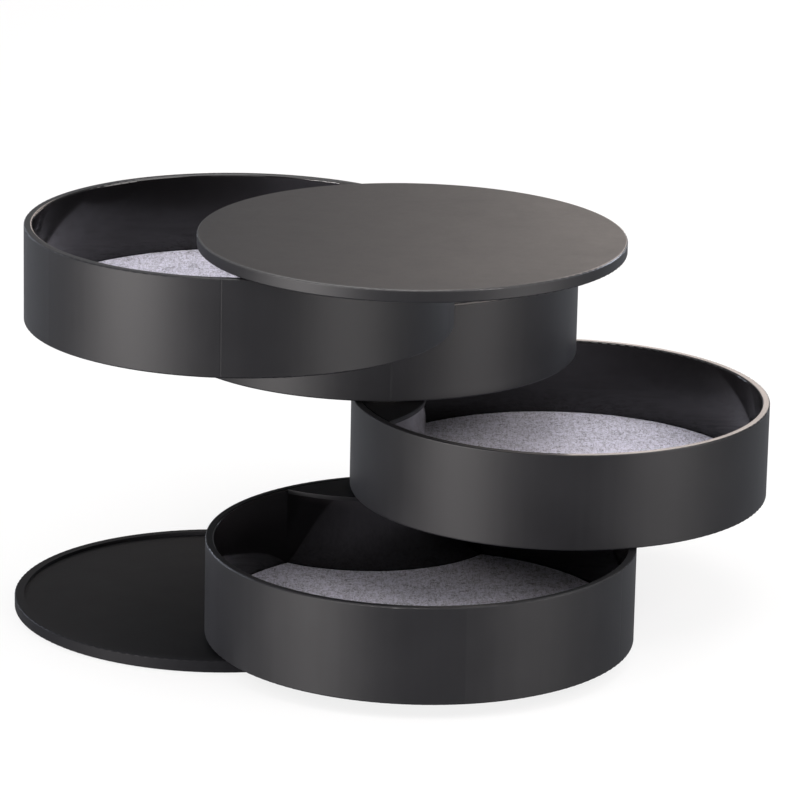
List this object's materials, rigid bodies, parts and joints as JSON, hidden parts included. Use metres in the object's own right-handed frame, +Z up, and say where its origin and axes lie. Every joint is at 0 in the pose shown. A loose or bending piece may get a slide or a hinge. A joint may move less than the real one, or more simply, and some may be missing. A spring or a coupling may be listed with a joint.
{
  "type": "rotating jewelry organizer",
  "caption": "Stack of round felt-lined trays with a lid and a base plate that swing out about one shared off-centre spindle to open and line up into a closed cylinder.",
  "frame": {"origin": "on the spindle's axis, at the surface the grip disc stands on", "axes": "+Z up along the spindle; +X to the right and +Y away in the front view of the fanned-out rest pose"},
  "size_m": [0.2685, 0.2722, 0.1489],
  "materials": {
    "shell_plastic": "satin",
    "felt": "matte",
    "steel": "satin",
    "nylon": "satin",
    "grip_rubber": "matte"
  },
  "bodies": {
    "base": {"base_plate": "shell_plastic", "grip_disc": "grip_rubber", "disc_spring": "steel", "thrust_washer_1": "nylon"},
    "lid": {"lid_plate": "shell_plastic", "spindle": "steel", "lid_screws": "steel", "keeper_washer": "steel", "end_screw": "steel"},
    "layer_1": {"tray_1": "shell_plastic", "hub_cover_1": "shell_plastic", "felt_liner_1": "felt", "pivot_bush_1": "nylon", "thrust_washer_2": "nylon"},
    "layer_2": {"tray_2": "shell_plastic", "hub_cover_2": "shell_plastic", "felt_liner_2": "felt", "pivot_bush_2": "nylon", "thrust_washer_3": "nylon"},
    "layer_3": {"tray_3": "shell_plastic", "hub_cover_3": "shell_plastic", "felt_liner_3": "felt", "pivot_bush_3": "nylon", "thrust_washer_4": "nylon"},
    "layer_4": {"tray_4": "shell_plastic", "hub_cover_4": "shell_plastic", "felt_liner_4": "felt", "pivot_bush_4": "nylon", "thrust_washer_5": "nylon"}
  },
  "joints": [
    {"name": "layer_1_swing", "type": "hinge", "parent": "base", "child": "layer_1", "pos_m": [0, 0, 0], "axis": [0, 0, 1], "continuous": true},
    {"name": "layer_2_swing", "type": "hinge", "parent": "base", "child": "layer_2", "pos_m": [0, 0, 0], "axis": [0, 0, 1], "continuous": true},
    {"name": "layer_3_swing", "type": "hinge", "parent": "base", "child": "layer_3", "pos_m": [0, 0, 0], "axis": [0, 0, 1], "continuous": true},
    {"name": "layer_4_swing", "type": "hinge", "parent": "base", "child": "layer_4", "pos_m": [0, 0, 0], "axis": [0, 0, 1], "continuous": true},
    {"name": "lid_swing", "type": "hinge", "parent": "base", "child": "lid", "pos_m": [0, 0, 0], "axis": [0, 0, 1], "continuous": true}
  ]
}
